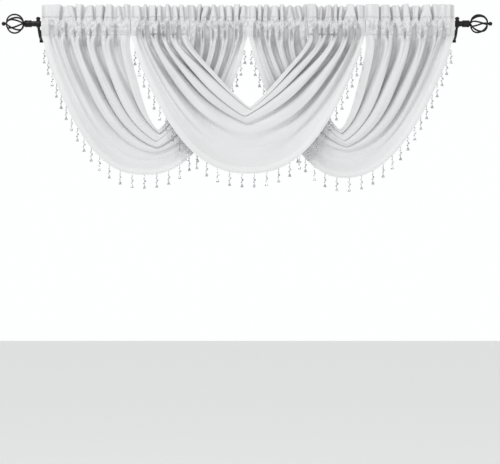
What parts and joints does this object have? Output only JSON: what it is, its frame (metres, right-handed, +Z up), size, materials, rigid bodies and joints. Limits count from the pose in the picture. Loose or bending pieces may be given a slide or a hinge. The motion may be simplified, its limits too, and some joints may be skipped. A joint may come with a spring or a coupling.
{
  "type": "beaded swag valances with curtain rod",
  "caption": "Cloth swag valances gathered by ruffled rod pockets onto a curtain rod with cage finials and wall brackets, their hems hung with bead strands.",
  "frame": {"origin": "on the wall plane behind the middle of the rod, at the height of the rod's axis", "axes": "+X along the rod to the viewer's right, +Y towards the wall, +Z up"},
  "size_m": [1.6118, 0.1273, 0.6219],
  "materials": {
    "black_metal": "satin black with a faint brown cast",
    "white_cloth": "faux silk with fine slubs and a soft sheen",
    "clear_beads": "clear faceted beads"
  },
  "bodies": {
    "root": {"curtain_rod": "black_metal", "left_finial": "black_metal", "right_finial": "black_metal", "left_bracket": "black_metal", "right_bracket": "black_metal", "left_thumb_screw": "black_metal", "right_thumb_screw": "black_metal", "left_swag": "white_cloth", "centre_swag": "white_cloth", "right_swag": "white_cloth", "left_bead_fringe": "clear_beads", "centre_bead_fringe": "clear_beads", "right_bead_fringe": "clear_beads"}
  },
  "joints": []
}
